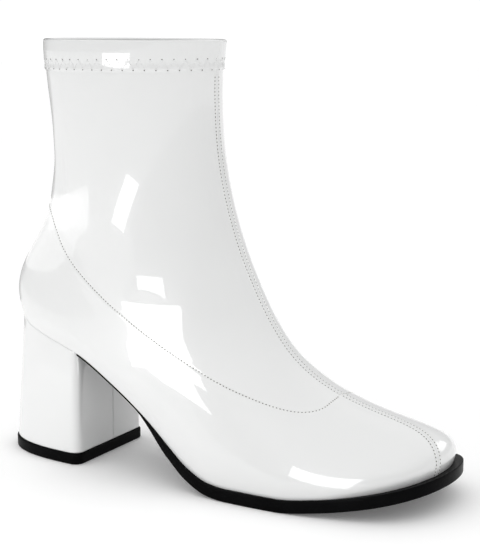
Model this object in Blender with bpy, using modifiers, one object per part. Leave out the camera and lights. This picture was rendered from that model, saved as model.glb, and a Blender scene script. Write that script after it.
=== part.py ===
"""A white ankle boot of the go go kind: a stretch patent upper on a chunky block heel, with a black sole.

It is a right boot. +X runs from heel to toe, +Y to the wearer's left, which is the inner side, and +Z up.
The origin is on the floor, at the middle of the heel's rest face.
"""

import math

import bmesh
import bpy
import numpy as np

# Lengths of the last, in metres.
LENGTH = 0.240  # heel back to toe tip, along the floor
BALL_HALF_WIDTH = 0.0415  # the upper's half width at the ball, at the sole
HEEL_HALF_WIDTH = 0.0368  # the heel end's half width before its back is rounded off
SHAFT_HALF_WIDTH = 0.0280  # the shaft's half width at the collar
SEAT_HEIGHT = 0.0745  # top of the heel at its back, above the floor
SHAFT_HEIGHT = 0.2105  # the collar's edge above the floor
SHAFT_BACK = 0.0200  # the collar's back edge, forward of the heel's back
SHAFT_DEPTH = 0.0983  # the collar's opening, back to front, outside
TOE_SPRING = 0.0125  # how far the toe's underside stands off the floor
CURVE = 0.0050  # how far the last curves outwards at the waist and inwards at the toe

# The upper's wall.
WALL = 0.0016
HEM_HEIGHT = 0.0145  # the folded hem at the collar
HEM_STEP = 0.0007  # how far the hem stands proud of the shaft
HEM_ROUND = 0.0010  # the rise of the hem's folded edge

# Pieces under the upper.
GAP = 0.0003  # left between pieces that touch
SOLE_THICKNESS = 0.0060
WAIST_EDGE = 0.0013  # the sole's edge where it thins out towards the heel
WEDGE_START = 0.0880  # where that edge starts to thicken, forward of the heel's back
WEDGE_END = 0.1090  # where it reaches the full thickness
SOLE_LEDGE = 0.0016  # how far the sole shows past the upper at the sides
LEDGE_RUN = 0.0200  # the ledge grows from the wedge's start to this far past its end
TOE_LEDGE = 0.0044  # how far the sole shows past the upper at the toe
TOE_LEDGE_FROM, TOE_LEDGE_TO = 0.80, 0.97  # where it grows to that, as shares of the sole's length
SOLE_ROUNDING = 0.0004
INSOLE_THICKNESS = 0.0030
BREAST = 0.0525  # the heel's front face, forward of the heel's back
HEEL_CORNER = 0.0050  # radius of the heel's two front corners
HEEL_INSET = 0.0006  # how far the heel's top edge lies inside the upper's
HEEL_FLARE = 0.0062  # how much further back the heel's foot reaches than its top
HEEL_WIDENING = 1.030  # the heel's width at the floor as a share of its width at the top
HEEL_ROUNDING = 0.0004
TOP_PIECE_THICKNESS = 0.0056
TOP_PIECE_LEDGE = 0.0005
TOP_PIECE_ROUNDING = 0.0006

# How finely the surfaces are cut into faces.
AROUND = 80
UPPER_ROWS = 31
INNER_ROWS = 22
SOLE_STEPS = 44
HEEL_STEPS = 18
CORNER_STEPS = 4

WHITE = (0.86, 0.87, 0.87)
BLACK = (0.012, 0.012, 0.013)
LINING = (0.78, 0.78, 0.76)

# The line under the last, from the heel's back to the toe. Along is a share of LENGTH. Rise is a share of the
# heel's height over the ball, spring of TOE_SPRING, and curve of CURVE.
BOTTOM_COLUMNS = ("along", "rise", "spring", "curve")
BOTTOM = (
    (0.000, 1.000, 0.000, 0.00),
    (0.104, 0.892, 0.000, 0.00),
    (0.219, 0.762, 0.000, -0.10),
    (0.310, 0.577, 0.000, -0.25),
    (0.405, 0.352, 0.000, -0.45),
    (0.455, 0.215, 0.000, -0.55),
    (0.505, 0.089, 0.000, -0.60),
    (0.560, 0.014, 0.000, -0.55),
    (0.600, 0.000, 0.000, -0.38),
    (0.710, 0.000, 0.000, 0.00),
    (0.790, 0.000, 0.160, 0.30),
    (0.875, 0.000, 0.450, 0.65),
    (1.000, 0.000, 1.000, 1.10),
)

# The upper's rings, from the edge at the sole to the collar, each from the heel's back round to the front.
# The four ends are where a ring crosses the back and the front of the boot in the side view: back_x and front_x
# as shares of LENGTH, back_up and front_up as shares of the way from the sole to the collar.
# Arch is the share of the sole's hollow that the ring keeps, and swing of the sole's curve.
# Heel to toe are half widths at five stations, as shares of BALL_HALF_WIDTH, before the ends are rounded off.
# Blunt and snub say how bluntly the back and the front are.
RING_COLUMNS = (
    "back_x", "back_up", "front_x", "front_up", "arch", "swing",
    "heel", "waist", "joint", "ball", "toe", "blunt", "snub",
)
RINGS = (
    (0.014, 0.000, 0.982, 0.000, 1.00, 1.00, 0.885, 0.745, 0.915, 1.050, 1.080, 1.00, 1.60),
    (0.007, 0.055, 0.986, 0.032, 0.99, 0.98, 0.905, 0.785, 0.945, 1.070, 1.080, 1.00, 1.60),
    (0.005, 0.105, 0.972, 0.064, 0.94, 0.92, 0.895, 0.790, 0.940, 1.030, 0.985, 1.00, 1.45),
    (0.012, 0.165, 0.936, 0.088, 0.84, 0.80, 0.850, 0.785, 0.905, 0.950, 0.850, 0.95, 1.15),
    (0.029, 0.225, 0.872, 0.110, 0.68, 0.62, 0.800, 0.770, 0.855, 0.850, 0.740, 0.90, 0.85),
    (0.052, 0.290, 0.780, 0.143, 0.48, 0.42, 0.750, 0.750, 0.795, 0.770, 0.690, 0.80, 0.60),
    (0.075, 0.365, 0.686, 0.208, 0.29, 0.25, 0.700, 0.720, 0.735, 0.710, 0.660, 0.70, 0.50),
    (0.088, 0.450, 0.611, 0.318, 0.13, 0.12, 0.665, 0.695, 0.695, 0.670, 0.640, 0.60, 0.45),
    (0.097, 0.560, 0.551, 0.464, 0.04, 0.04, 0.640, 0.675, 0.670, 0.650, 0.640, 0.50, 0.40),
    (0.097, 0.660, 0.512, 0.610, 0.00, 0.00, 0.640, 0.665, 0.660, 0.650, 0.640, 0.40, 0.40),
    (0.093, 0.770, 0.490, 0.765, 0.00, 0.00, 0.645, 0.668, 0.665, 0.655, 0.650, 0.40, 0.40),
    (0.085, 0.894, 0.488, 0.925, 0.00, 0.00, 0.660, 0.675, 0.670, 0.665, 0.660, 0.40, 0.40),
    (0.083, 1.000, 0.493, 1.000, 0.00, 0.00, 0.668, 0.668, 0.668, 0.668, 0.668, 0.40, 0.40),
)
STATIONS = (0.10, 0.36, 0.58, 0.75, 0.92)  # of heel to toe, along each ring


def natural_cubic(knots, values):
    """A function that runs smoothly through the values, a row for each knot."""
    knots = np.asarray(knots, float)
    values = np.asarray(values, float).reshape(len(knots), -1)
    count = len(knots)
    step = np.diff(knots)
    slope = np.diff(values, axis=0) / step[:, None]
    matrix = np.eye(count)
    right = np.zeros_like(values)
    for i in range(1, count - 1):
        matrix[i, i - 1:i + 2] = step[i - 1], 2 * (step[i - 1] + step[i]), step[i]
        right[i] = 6 * (slope[i] - slope[i - 1])
    bend = np.linalg.solve(matrix, right)

    def at(where):
        where = np.atleast_1d(np.asarray(where, float))
        i = np.clip(np.searchsorted(knots, where) - 1, 0, count - 2)
        h = step[i][:, None]
        behind, ahead = (where - knots[i])[:, None], (knots[i + 1] - where)[:, None]
        bent = (bend[i] * ahead ** 3 + bend[i + 1] * behind ** 3) / (6 * h)
        straight = (values[i] / h - bend[i] * h / 6) * ahead + (values[i + 1] / h - bend[i + 1] * h / 6) * behind
        return bent + straight

    return at


def level_cubic(knots, values):
    """A function through the values that never passes them, so that it stays level between equal ones."""
    knots = np.asarray(knots, float)
    values = np.asarray(values, float)
    slope = np.diff(values) / np.diff(knots)
    tangent = np.zeros(len(knots))
    same_way = slope[:-1] * slope[1:] > 0
    tangent[1:-1][same_way] = 2 / (1 / slope[:-1][same_way] + 1 / slope[1:][same_way])
    tangent[0], tangent[-1] = slope[0], slope[-1]

    def at(where):
        where = np.asarray(where, float)
        i = np.clip(np.searchsorted(knots, where) - 1, 0, len(knots) - 2)
        h = knots[i + 1] - knots[i]
        t = np.clip((where - knots[i]) / h, 0.0, 1.0)
        ends = values[i] * (1 + 2 * t) * (1 - t) ** 2 + values[i + 1] * t * t * (3 - 2 * t)
        return ends + h * t * (1 - t) * (tangent[i] * (1 - t) - tangent[i + 1] * t)

    return at


def bottom_column(name):
    column = BOTTOM_COLUMNS.index(name)
    return level_cubic([row[0] for row in BOTTOM], [row[column] for row in BOTTOM])


rise_at = bottom_column("rise")
spring_at = bottom_column("spring")
curve_at = natural_cubic([row[0] for row in BOTTOM], [row[3] for row in BOTTOM])
ring_at = natural_cubic(np.linspace(0, 1, len(RINGS)), RINGS)


def sole_top(x):
    """Height of the sole's and the heel's top at x, which is measured from the heel's back."""
    along = np.asarray(x) / LENGTH
    return SOLE_THICKNESS + rise_at(along) * (SEAT_HEIGHT - SOLE_THICKNESS) + spring_at(along) * TOE_SPRING


def upper_base(v, turns):
    """Points of the upper's plain outer surface: v runs from the sole, 0, to the collar, 1.

    The turns are angles round the ring: 0 at the back, half a turn at the front, the outer side between them.
    """
    ring = dict(zip(RING_COLUMNS, ring_at(v)[0]))
    turns = np.asarray(turns, float)
    c = (1 - np.cos(turns)) / 2
    low, high = (1 - v) ** 2, v ** 2
    back_x = ring["back_x"] * LENGTH + high * (SHAFT_BACK - RINGS[-1][0] * LENGTH)
    front_x = ring["front_x"] * LENGTH + high * (SHAFT_BACK + SHAFT_DEPTH - RINGS[-1][2] * LENGTH)
    back_low, front_low = sole_top(RINGS[0][0] * LENGTH), sole_top(RINGS[0][2] * LENGTH)
    back_z = back_low + ring["back_up"] * (SHAFT_HEIGHT - back_low)
    front_z = front_low + ring["front_up"] * (SHAFT_HEIGHT - front_low)
    x = back_x + (front_x - back_x) * c
    hollow = sole_top(x) - sole_top(back_x) - (sole_top(front_x) - sole_top(back_x)) * c
    z = back_z + (front_z - back_z) * c + ring["arch"] * hollow
    widths = np.array([ring[name] for name in RING_COLUMNS[6:11]]) * BALL_HALF_WIDTH
    widths[0] += low * (HEEL_HALF_WIDTH - RINGS[0][6] * BALL_HALF_WIDTH)
    widths += high * (SHAFT_HALF_WIDTH - RINGS[-1][6] * BALL_HALF_WIDTH)
    full = ring["blunt"] + (ring["snub"] - ring["blunt"]) * c
    ends = np.tanh(full * np.sin(turns)) / np.tanh(full)
    y = ring["swing"] * CURVE * curve_at(x / LENGTH)[:, 0] - natural_cubic(STATIONS, widths)(c)[:, 0] * ends
    return np.stack((x, y, z), axis=1)


def upper_normals(v, turns):
    """The directions that point out of the upper."""
    up = upper_base(min(v + 1e-3, 1.0), turns) - upper_base(max(v - 1e-3, 0.0), turns)
    on = upper_base(v, turns + 1e-3) - upper_base(v, turns - 1e-3)
    normals = np.cross(on, up)
    return normals / np.linalg.norm(normals, axis=1)[:, None]


def smooth_step(low, high, value):
    t = np.clip((np.asarray(value) - low) / (high - low), 0.0, 1.0)
    return t * t * (3 - 2 * t)


def level_outline(turns, out):
    """The upper's lower edge, moved outwards in plan by out."""
    points = upper_base(0.0, turns)
    normals = upper_normals(0.0, turns)
    normals[:, 2] = 0.0
    normals /= np.linalg.norm(normals, axis=1)[:, None]
    points = points + normals * np.asarray(out)[..., None]
    points[:, 2] = sole_top(points[:, 0])
    return points


def around(count, start=0.0, end=2 * math.pi):
    return np.linspace(start, end, count)


def turn_at(x):
    """The turn, on the outer side, at which the upper's lower edge passes x."""
    first, last = RINGS[0][0] * LENGTH, RINGS[0][2] * LENGTH
    return math.acos(1 - 2 * (x - first) / (last - first))


def ring_below(depth):
    """The v of the ring that passes the back of the shaft at a depth under the collar's edge."""
    low, high = 0.5, 1.0
    for _ in range(40):
        middle = (low + high) / 2
        if upper_base(middle, [0.0])[0, 2] < SHAFT_HEIGHT - depth:
            low = middle
        else:
            high = middle
    return high


def upper_rings():
    """Rings of the upper's solid: up its outer face, over the hem's fold and down its inner face."""
    turns = around(AROUND + 1)[:-1]

    def ring(v, out):
        points = upper_base(v, turns) + out * upper_normals(v, turns)
        return points + (0.0, 0.0, GAP)

    def inner_ring(v):
        """An inner ring, which at the bottom stays level with the outer one."""
        points = ring(v, -WALL)
        if v == 0.0:
            points = level_outline(turns, -WALL) + (0.0, 0.0, GAP)
        return points

    hem, fold = ring_below(HEM_HEIGHT), ring_below(HEM_ROUND)
    above_hem = ring_below(HEM_HEIGHT - HEM_ROUND)
    rings = [ring(v, 0.0) for v in np.linspace(0.0, hem, UPPER_ROWS)]
    rings += [ring(v, HEM_STEP) for v in np.linspace(above_hem, fold, 4)]
    rings += [ring(1.0, HEM_STEP * 0.4), ring(1.0, -WALL * 0.7)]
    rings += [inner_ring(v) for v in np.linspace(fold, 0.0, INNER_ROWS)]
    return rings


def sole_edge_turns():
    """Turns from the breast on the outer side, round the toe, to the breast on the inner side."""
    start = turn_at(BREAST + GAP)
    return around(2 * SOLE_STEPS + 1, start, 2 * math.pi - start)


def sole_thickness(x):
    return WAIST_EDGE + (SOLE_THICKNESS - WAIST_EDGE) * smooth_step(WEDGE_START, WEDGE_END, x)


def sole_outline(turns):
    c = (1 - np.cos(turns)) / 2
    ledge = SOLE_LEDGE * smooth_step(WEDGE_START, WEDGE_END + LEDGE_RUN, upper_base(0.0, turns)[:, 0])
    ledge = ledge + (TOE_LEDGE - SOLE_LEDGE) * smooth_step(TOE_LEDGE_FROM, TOE_LEDGE_TO, c)
    return level_outline(turns, ledge)


def paired_faces(first, count):
    """Faces across a closed outline whose vertices pair up, the first with the last, towards the middle one."""
    faces = []
    for i in range((count - 1) // 2):
        a, b, c, d = first + i, first + i + 1, first + count - 2 - i, first + count - 1 - i
        faces.append((a, b, c, d) if b != c else (a, b, d))
    return faces


def stacked_solid(levels):
    """A solid from stacked outlines, lowest first, each with its vertices paired across.

    Each outline starts on the outer side at the back or the front and ends on the inner side.
    """
    count = len(levels[0])
    vertices = [tuple(point) for level in levels for point in level]
    faces = [tuple(reversed(face)) for face in paired_faces(0, count)]
    faces += paired_faces((len(levels) - 1) * count, count)
    for n in range(len(levels) - 1):
        for i in range(count):
            j = (i + 1) % count
            faces.append((n * count + i, n * count + j, (n + 1) * count + j, (n + 1) * count + i))
    return vertices, faces


def sole_solid():
    top = sole_outline(sole_edge_turns())
    top[[0, -1], 0] = BREAST + GAP
    bottom = top.copy()
    bottom[:, 2] -= sole_thickness(top[:, 0])
    return stacked_solid([bottom, top])


def insole_solid():
    turns = around(2 * SOLE_STEPS + 2, 0.0, 2 * math.pi)
    step = turns[1] / 2
    turns = np.clip(turns, step, 2 * math.pi - step)
    low = level_outline(turns, -(WALL + 2 * GAP)) + (0.0, 0.0, GAP)
    high = low + (0.0, 0.0, INSOLE_THICKNESS)
    return stacked_solid([low, high])


def heel_outline(grow=0.0, level=1.0):
    """The heel's outline at level 1, the seat, to level 0, the foot, widened by grow.

    It runs from the front corner on the inner side round the back to the one on the outer side.
    """
    corner = BREAST - HEEL_CORNER
    arc = [turn_at(corner + HEEL_CORNER * math.sin(angle)) for angle in around(CORNER_STEPS + 1, 0.0, math.pi / 2)]
    half = np.concatenate((around(HEEL_STEPS + 1, 0.0, arc[0])[:-1] + arc[0] / HEEL_STEPS / 2, arc))
    points = level_outline(np.concatenate((2 * math.pi - half[::-1], half)), -HEEL_INSET)
    x, y = points[:, 0], points[:, 1]
    back = x.min() - HEEL_FLARE * (1 - level) - grow
    reach = np.clip((x - x.min()) / (x.max() - x.min()), 0.0, 1.0)
    plan_x = back + (BREAST + grow - back) * reach
    past = np.clip(plan_x - (BREAST + grow - HEEL_CORNER), 0.0, HEEL_CORNER)
    pull = HEEL_CORNER - np.sqrt(np.maximum(HEEL_CORNER ** 2 - past ** 2, 0.0))
    wide = np.abs(y) * (1 + (HEEL_WIDENING - 1) * (1 - level))
    wide += grow * np.minimum(wide / (2 * HEEL_CORNER), 1.0) - pull
    return np.stack((plan_x, np.sign(y) * wide, sole_top(x)), axis=1)


def heel_solid():
    seat = heel_outline()
    foot = heel_outline(level=0.0)
    foot[:, 2] = TOP_PIECE_THICKNESS + GAP
    return stacked_solid([foot, seat])


def top_piece_solid():
    top = heel_outline(TOP_PIECE_LEDGE, level=0.0)
    bottom = top.copy()
    top[:, 2], bottom[:, 2] = TOP_PIECE_THICKNESS, 0.0
    return stacked_solid([bottom, top])


def upper_solid():
    rings = upper_rings()
    vertices = [tuple(point) for ring in rings for point in ring]
    faces = []
    for n in range(len(rings)):
        m = (n + 1) % len(rings)
        for i in range(AROUND):
            j = (i + 1) % AROUND
            faces.append((n * AROUND + i, n * AROUND + j, m * AROUND + j, m * AROUND + i))
    return vertices, faces


def clear_scene():
    for item in list(bpy.data.objects):
        bpy.data.objects.remove(item, do_unlink=True)


def new_material(name, colour, roughness, coat):
    material = bpy.data.materials.new(name)
    material.use_nodes = True
    shader = material.node_tree.nodes["Principled BSDF"]
    shader.inputs["Base Color"].default_value = (*colour, 1.0)
    shader.inputs["Roughness"].default_value = roughness
    shader.inputs["Coat Weight"].default_value = coat
    return material


def flat_faces_joined(mesh):
    """Faces that lie in one plane become one, so that each rest face is whole."""
    bmesh.ops.dissolve_limit(mesh, angle_limit=1e-4, verts=mesh.verts, edges=mesh.edges)


def new_piece(name, solid, material, collection, middle):
    """An object from a solid's vertices and faces, moved so that the middle of the heel's foot is the origin."""
    vertices, faces = solid
    mesh = bpy.data.meshes.new(name)
    mesh.from_pydata([(x - middle, y, z) for x, y, z in vertices], [], faces)
    work = bmesh.new()
    work.from_mesh(mesh)
    flat_faces_joined(work)
    bmesh.ops.recalc_face_normals(work, faces=work.faces)
    work.to_mesh(mesh)
    work.free()
    mesh.materials.append(material)
    piece = bpy.data.objects.new(name, mesh)
    collection.objects.link(piece)
    return piece


def round_edges(piece, width):
    bevel = piece.modifiers.new("Rounded edges", "BEVEL")
    bevel.width = width
    bevel.segments = 2
    bevel.limit_method = "ANGLE"
    bevel.angle_limit = math.radians(50)


def main():
    clear_scene()
    collection = bpy.data.collections.new("go_go_boot")
    bpy.context.scene.collection.children.link(collection)
    foot = heel_outline(level=0.0)[:, 0]
    middle = float(foot.min() + foot.max()) / 2
    pieces = (
        ("upper", upper_solid(), WHITE, 0.18, 1.0, 0.0),
        ("outsole", sole_solid(), BLACK, 0.45, 0.0, SOLE_ROUNDING),
        ("insole", insole_solid(), LINING, 0.70, 0.0, 0.0),
        ("heel", heel_solid(), WHITE, 0.18, 1.0, HEEL_ROUNDING),
        ("heel_top_piece", top_piece_solid(), BLACK, 0.55, 0.0, TOP_PIECE_ROUNDING),
    )
    for name, solid, colour, roughness, coat, rounding in pieces:
        piece = new_piece(name, solid, new_material(name, colour, roughness, coat), collection, middle)
        if rounding:
            round_edges(piece, rounding)


main()
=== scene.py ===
"""Looks of the white go go boot: glossy stretch patent, seams, stitches, black sole and lining.

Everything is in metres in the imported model's frame: +X from heel to toe, +Y to the inner side, +Z up.
"""

import math

import bmesh
import bpy
import numpy as np
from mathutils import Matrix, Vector


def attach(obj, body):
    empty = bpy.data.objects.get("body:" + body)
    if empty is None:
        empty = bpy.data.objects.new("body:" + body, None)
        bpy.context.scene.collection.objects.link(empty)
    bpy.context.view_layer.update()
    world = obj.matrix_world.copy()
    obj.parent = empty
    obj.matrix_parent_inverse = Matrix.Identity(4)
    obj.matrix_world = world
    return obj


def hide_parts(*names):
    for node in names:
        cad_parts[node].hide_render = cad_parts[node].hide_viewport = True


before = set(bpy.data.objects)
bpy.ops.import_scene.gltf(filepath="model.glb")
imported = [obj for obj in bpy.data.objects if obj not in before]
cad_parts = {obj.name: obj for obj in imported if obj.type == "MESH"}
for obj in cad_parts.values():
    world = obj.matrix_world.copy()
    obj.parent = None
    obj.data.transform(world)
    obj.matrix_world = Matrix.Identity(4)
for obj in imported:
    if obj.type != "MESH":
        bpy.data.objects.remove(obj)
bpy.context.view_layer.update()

# Sizes of the last, the sole and the heel, as the CAD model has them.
LENGTH = 0.240
BALL_HALF_WIDTH = 0.0415
HEEL_HALF_WIDTH = 0.0368
SHAFT_HALF_WIDTH = 0.0280
SEAT_HEIGHT = 0.0745
SHAFT_HEIGHT = 0.2105
SHAFT_BACK = 0.0200
SHAFT_DEPTH = 0.0983
TOE_SPRING = 0.0125
CURVE = 0.0050
WALL = 0.0016
HEM_HEIGHT = 0.0145
HEM_STEP = 0.0007
GAP = 0.0003
SOLE_THICKNESS = 0.0060
WAIST_EDGE = 0.0013
WEDGE_START = 0.0880
WEDGE_END = 0.1090
SOLE_LEDGE = 0.0016
LEDGE_RUN = 0.0200
TOE_LEDGE = 0.0044
TOE_LEDGE_FROM, TOE_LEDGE_TO = 0.80, 0.97
INSOLE_THICKNESS = 0.0030
BREAST = 0.0525
HEEL_CORNER = 0.0050
HEEL_INSET = 0.0006
HEEL_FLARE = 0.0062
HEEL_WIDENING = 1.030
TOP_PIECE_THICKNESS = 0.0056
TOP_PIECE_LEDGE = 0.0005

# The line under the last, as the CAD model has it: how far along, its rise, its toe spring and its curve.
BOTTOM = (
    (0.000, 1.000, 0.000, 0.00),
    (0.104, 0.892, 0.000, 0.00),
    (0.219, 0.762, 0.000, -0.10),
    (0.310, 0.577, 0.000, -0.25),
    (0.405, 0.352, 0.000, -0.45),
    (0.455, 0.215, 0.000, -0.55),
    (0.505, 0.089, 0.000, -0.60),
    (0.560, 0.014, 0.000, -0.55),
    (0.600, 0.000, 0.000, -0.38),
    (0.710, 0.000, 0.000, 0.00),
    (0.790, 0.000, 0.160, 0.30),
    (0.875, 0.000, 0.450, 0.65),
    (1.000, 0.000, 1.000, 1.10),
)

# The upper's rings from the sole to the collar, as the CAD model has them. The columns from heel to toe are
# half widths at the stations.
RING_COLUMNS = (
    "back_x", "back_up", "front_x", "front_up", "arch", "swing",
    "heel", "waist", "joint", "ball", "toe", "blunt", "snub",
)
RINGS = (
    (0.014, 0.000, 0.982, 0.000, 1.00, 1.00, 0.885, 0.745, 0.915, 1.050, 1.080, 1.00, 1.60),
    (0.007, 0.055, 0.986, 0.032, 0.99, 0.98, 0.905, 0.785, 0.945, 1.070, 1.080, 1.00, 1.60),
    (0.005, 0.105, 0.972, 0.064, 0.94, 0.92, 0.895, 0.790, 0.940, 1.030, 0.985, 1.00, 1.45),
    (0.012, 0.165, 0.936, 0.088, 0.84, 0.80, 0.850, 0.785, 0.905, 0.950, 0.850, 0.95, 1.15),
    (0.029, 0.225, 0.872, 0.110, 0.68, 0.62, 0.800, 0.770, 0.855, 0.850, 0.740, 0.90, 0.85),
    (0.052, 0.290, 0.780, 0.143, 0.48, 0.42, 0.750, 0.750, 0.795, 0.770, 0.690, 0.80, 0.60),
    (0.075, 0.365, 0.686, 0.208, 0.29, 0.25, 0.700, 0.720, 0.735, 0.710, 0.660, 0.70, 0.50),
    (0.088, 0.450, 0.611, 0.318, 0.13, 0.12, 0.665, 0.695, 0.695, 0.670, 0.640, 0.60, 0.45),
    (0.097, 0.560, 0.551, 0.464, 0.04, 0.04, 0.640, 0.675, 0.670, 0.650, 0.640, 0.50, 0.40),
    (0.097, 0.660, 0.512, 0.610, 0.00, 0.00, 0.640, 0.665, 0.660, 0.650, 0.640, 0.40, 0.40),
    (0.093, 0.770, 0.490, 0.765, 0.00, 0.00, 0.645, 0.668, 0.665, 0.655, 0.650, 0.40, 0.40),
    (0.085, 0.894, 0.488, 0.925, 0.00, 0.00, 0.660, 0.675, 0.670, 0.665, 0.660, 0.40, 0.40),
    (0.083, 1.000, 0.493, 1.000, 0.00, 0.00, 0.668, 0.668, 0.668, 0.668, 0.668, 0.40, 0.40),
)
FIRST_RING = dict(zip(RING_COLUMNS, RINGS[0]))
LAST_RING = dict(zip(RING_COLUMNS, RINGS[-1]))
WIDTH_COLUMNS = slice(RING_COLUMNS.index("heel"), RING_COLUMNS.index("toe") + 1)
STATIONS = (0.10, 0.36, 0.58, 0.75, 0.92)

# Seams. Level is the share of the way from the sole to the collar, turn the degrees round from the back. The
# centre seam's rows are level and turn, the panel seam's are turn and level.
CENTRE_SEAM = (
    (0.0, 172.0), (0.2, 174.0), (0.32, 180.0), (0.40, 183.0),
    (0.50, 180.5), (0.65, 178.5), (1.0, 178.0),
)
PANEL_SEAM = (
    (0, 0.575), (16, 0.548), (31, 0.532), (48, 0.460), (66, 0.393),
    (88, 0.392), (107, 0.407), (130, 0.366), (160, 0.412), (180, 0.432),
)

# Grooves and ridges along the seams: height, distance from the seam to either side, and half width.
TOPSTITCH_OFFSET = 0.0016  # each row's distance from the centre seam
CENTRE_SEAM_FORMS = (
    (-0.00042, 0.0, 0.00030),  # the groove
    (0.00020, 0.00080, 0.00050),  # the turned edges beside it
    (-0.00012, TOPSTITCH_OFFSET, 0.00035),  # drawn in along the stitches
)
PANEL_SEAM_FORMS = (
    (-0.00010, 0.0, 0.00045),  # the trough
    (0.00005, 0.0012, 0.00060),  # its lips
)
ALLOWANCE_HEIGHT = 0.00018  # the doubled edges beside the centre seam
ALLOWANCE_FROM, ALLOWANCE_TO = 0.0022, 0.0036  # where they thin out
OVERLAP_HEIGHT = 0.00010  # how far the lower panel stands proud at its seam
OVERLAP_FLAT, OVERLAP_FADE = 0.0020, 0.0040

# The hem, with depths below the collar's edge.
HEM_FRONT = 0.0015  # how much less deep it is at the front than at the back
HEM_ABOVE, HEM_UNDER = 0.0005, 0.0003  # its lower edge rises over this much on either side of its height
HEM_CLEAR = 0.0010  # below its height, where the shaft's own relief has come in full
SEAM_IN_HEM = 0.35  # what is left of the centre seam's relief in it
ZIGZAG_TOP = 0.0093
ZIGZAG_FOOT = 0.0134
ZIGZAG_MIDDLE = (ZIGZAG_TOP + ZIGZAG_FOOT) / 2
DRAWN_IN, DRAWN_IN_WIDTH = 0.00030, 0.0022  # along the zigzag
PUCKERS = 96  # round the collar
PUCKER_HEIGHT, PUCKER_WIDTH = 0.00016, 0.0035
ROLL_HEIGHT, ROLL_DEPTH, ROLL_WIDTH = 0.00016, 0.0045, 0.0035

# Soft creases, each a trough or ridge: its middle's level and turn, its half length, half width and height, and
# how many degrees it leans from upright.
CREASES = (
    (0.66, 42, 0.024, 0.0040, -0.0005, 4),
    (0.64, 52, 0.020, 0.0030, 0.0004, 2),
    (0.72, 33, 0.020, 0.0035, 0.0004, 6),
    (0.66, 318, 0.024, 0.0040, -0.0005, -4),
    (0.64, 308, 0.020, 0.0030, 0.0004, -2),
)
CREASE_REACH = 0.020  # keeps a crease to its own side of the shaft

# Slow waves in the patent: the way each runs as x, y and z, its length, its height and where it starts.
WAVES = (
    (0.30, 0.25, 0.92, 0.058, 0.00007, 0.4),
    (0.90, 0.20, -0.40, 0.047, 0.00005, 2.1),
    (0.55, -0.60, 0.58, 0.036, 0.00004, 4.0),
    (-0.70, 0.10, 0.70, 0.027, 0.00002, 1.2),
)
WAVES_FULL = 0.05  # the level where they have come in full, above the sole

# Where the upper's mesh has its rows and columns: close together at the seams and the hem.
SEAM_OFFSETS = (0.15, 0.35, 0.6, 0.9, 1.25, 1.6, 2.0, 2.5, 3.2, 4.2, 5.5)  # millimetres either side
SEAM_BAND = 0.001 * np.array([-d for d in reversed(SEAM_OFFSETS)] + [0.0] + list(SEAM_OFFSETS))
SIDE_COLUMNS = 128
COLUMNS = 2 * SIDE_COLUMNS + len(SEAM_BAND) - 1
SIDE_CROWDING = 1.15  # above 1, columns crowd towards the back
FOOT_ROWS = 66
FOOT_CROWDING = 1.25  # above 1, rows crowd towards the sole
SHAFT_ROWS = 84
HEM_ROWS = 34
HEM_LEAD = 0.006  # the hem's close rows start this many levels below it
FOLD_ROWS = 8
FACING_ROWS = 10
LINING_ROWS = 34
FITTING_PASSES = 4

# The upper's edges and lining.
FOLD_RISE = 0.75  # how high the collar's fold is, as a share of a half circle's
LOWER_EDGE = 1.5 * GAP  # how far the lower edge is let down onto the sole
LINING_INSET = 0.0002  # below the hem

# Stitches.
STITCH_PITCH = 0.0017
STITCH_LENGTH = 0.00090
ZIGZAG_STEP = 0.0028  # along the hem, from one point of the zigzag to the next
ZIGZAG_PARTS = 3  # stitches from one point to the next
ZIGZAG_SPACE = 0.10  # left at either end of each, as a share of a stitch
CENTRE_ROW_START, CENTRE_ROW_END = 0.004, 0.002  # levels above the sole and short of the hem
PANEL_ROW_TURNS = ((0.02, 177.0), (183.0, 359.98))  # the outer side's row and the inner side's, in degrees
CENTRE_SAMPLES, PANEL_SAMPLES, COLLAR_SAMPLES = 900, 1200, 1441
STITCHES = (  # name, thread's radius, stitches to each hole of the needle, hole's radius
    ("centre_topstitch", 0.00017, 1, 0.00034),
    ("panel_stitch", 0.00017, 1, 0.00036),
    ("hem_zigzag", 0.00011, 3, 0.00029),
)
THREAD_SIDES = 6
THREAD_LIFT = 0.6  # how high a thread arches, in its own radii
THREAD_RINGS = (  # share along the stitch, share of the radius, share of the lift
    (0.00, 0.35, -0.9),
    (0.12, 0.90, 0.1),
    (0.50, 1.00, 1.0),
    (0.88, 0.90, 0.1),
    (1.00, 0.35, -0.9),
)
HOLE_SIDES = 8
HOLE_SPACE = 0.00036  # from a stitch's start back to its hole
HOLE_CROWN, HOLE_RIM, HOLE_ROOT = 0.00013, 0.00009, -0.00015  # heights over the surface
TINY = 1e-9  # keeps a direction from having no length

# The sole's edge and tread, and the lining sock, with places along the last from the heel's back.
SOLE_POINTS = 522
SOLE_COLUMNS = 44
TREAD_COLUMNS = 72
SOLE_ROUNDING = 0.10  # of the edge, as a share of the thickness
SOLE_EDGE = 0.0006  # and in plan
LINE_DEPTH, LINE_INSET, LINE_WIDTH = 0.00040, 0.0048, 0.0007
RIB_DEPTH, RIB_PITCH = 0.00022, 0.0036
RIB_INSET = (0.0075, 0.0095)
RIBS_BACK, RIBS_FRONT = (0.122, 0.128), (0.196, 0.202)
SOCK_POINTS = 302
SOCK_COLUMNS = 26
SOCK_ROUNDING, SOCK_STEPS = 0.0009, 3
CUSHION_HEIGHT, CUSHION_END = 0.0007, (0.06, 0.10)
CUSHION_FULLNESS = 0.6  # below 1, its sides rise more steeply
DISH_DEPTH, DISH_START = 0.0004, (0.13, 0.16)
EDGE_CROWDING = 0.35  # of the points across the sole, towards its edges
EDGE_STEPS = 4  # in each rounded corner, and up the edge between them

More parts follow.
